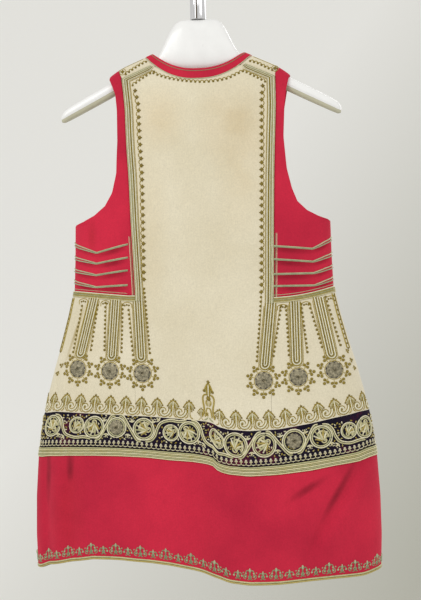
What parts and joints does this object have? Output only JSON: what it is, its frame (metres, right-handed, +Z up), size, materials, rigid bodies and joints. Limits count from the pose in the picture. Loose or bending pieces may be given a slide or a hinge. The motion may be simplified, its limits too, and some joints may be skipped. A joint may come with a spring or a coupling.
{
  "type": "sleeveless folk jacket on a hanger",
  "caption": "Long sleeveless folk jacket of cream wool with red sides and flounce, metal-thread braid and a velvet band, hanging open-fronted on a white display hanger.",
  "frame": {"origin": "centre of the top end of the hanger rod, where the hanger is held", "axes": "+Z up along the rod, +Y out of the jacket's open front, +X to the right of someone who looks at its back"},
  "size_m": [0.5392, 0.2048, 0.9174],
  "materials": {
    "cream_wool": "thick fulled wool, cream, matt",
    "red_wool": "thick fulled wool, crimson, matt",
    "velvet": "blue-black silk velvet",
    "gold_braid": "cords wound with old-gold metal thread",
    "silver_cord": "piping cord wound with green-silver thread",
    "metal_disc": "tarnished silver thread, couched in rings",
    "white_plastic": "moulded, smooth gloss",
    "chrome": "polished tube"
  },
  "bodies": {
    "root": {"front_left": "cream_wool", "side_back_left": "red_wool", "side_front_left": "red_wool", "skirt_back_left": "cream_wool", "skirt_front_left": "cream_wool", "waist_braid_left": "gold_braid", "long_braid_left": "gold_braid", "binding_front_left": "red_wool", "tab_left_1": "gold_braid", "tab_left_2": "gold_braid", "tab_left_3": "gold_braid", "rosette_left_1": "metal_disc", "rosette_left_2": "metal_disc", "rosette_left_3": "metal_disc", "cord_left_1": "silver_cord", "cord_left_2": "silver_cord", "cord_left_3": "silver_cord", "cord_left_4": "silver_cord", "front_right": "cream_wool", "side_back_right": "red_wool", "side_front_right": "red_wool", "skirt_back_right": "cream_wool", "skirt_front_right": "cream_wool", "waist_braid_right": "gold_braid", "long_braid_right": "gold_braid", "binding_front_right": "red_wool", "tab_right_1": "gold_braid", "tab_right_2": "gold_braid", "tab_right_3": "gold_braid", "rosette_right_1": "metal_disc", "rosette_right_2": "metal_disc", "rosette_right_3": "metal_disc", "cord_right_1": "silver_cord", "cord_right_2": "silver_cord", "cord_right_3": "silver_cord", "cord_right_4": "silver_cord", "back_panel": "cream_wool", "binding_back": "red_wool", "velvet_band_back": "velvet", "gold_braid_back": "gold_braid", "flounce_back": "red_wool", "hem_cord_back": "silver_cord", "velvet_band_front_left": "velvet", "gold_braid_front_left": "gold_braid", "flounce_front_left": "red_wool", "hem_cord_front_left": "silver_cord", "velvet_band_front_right": "velvet", "gold_braid_front_right": "gold_braid", "flounce_front_right": "red_wool", "hem_cord_front_right": "silver_cord", "hanger_body": "white_plastic", "hanger_rod": "chrome"}
  },
  "joints": []
}
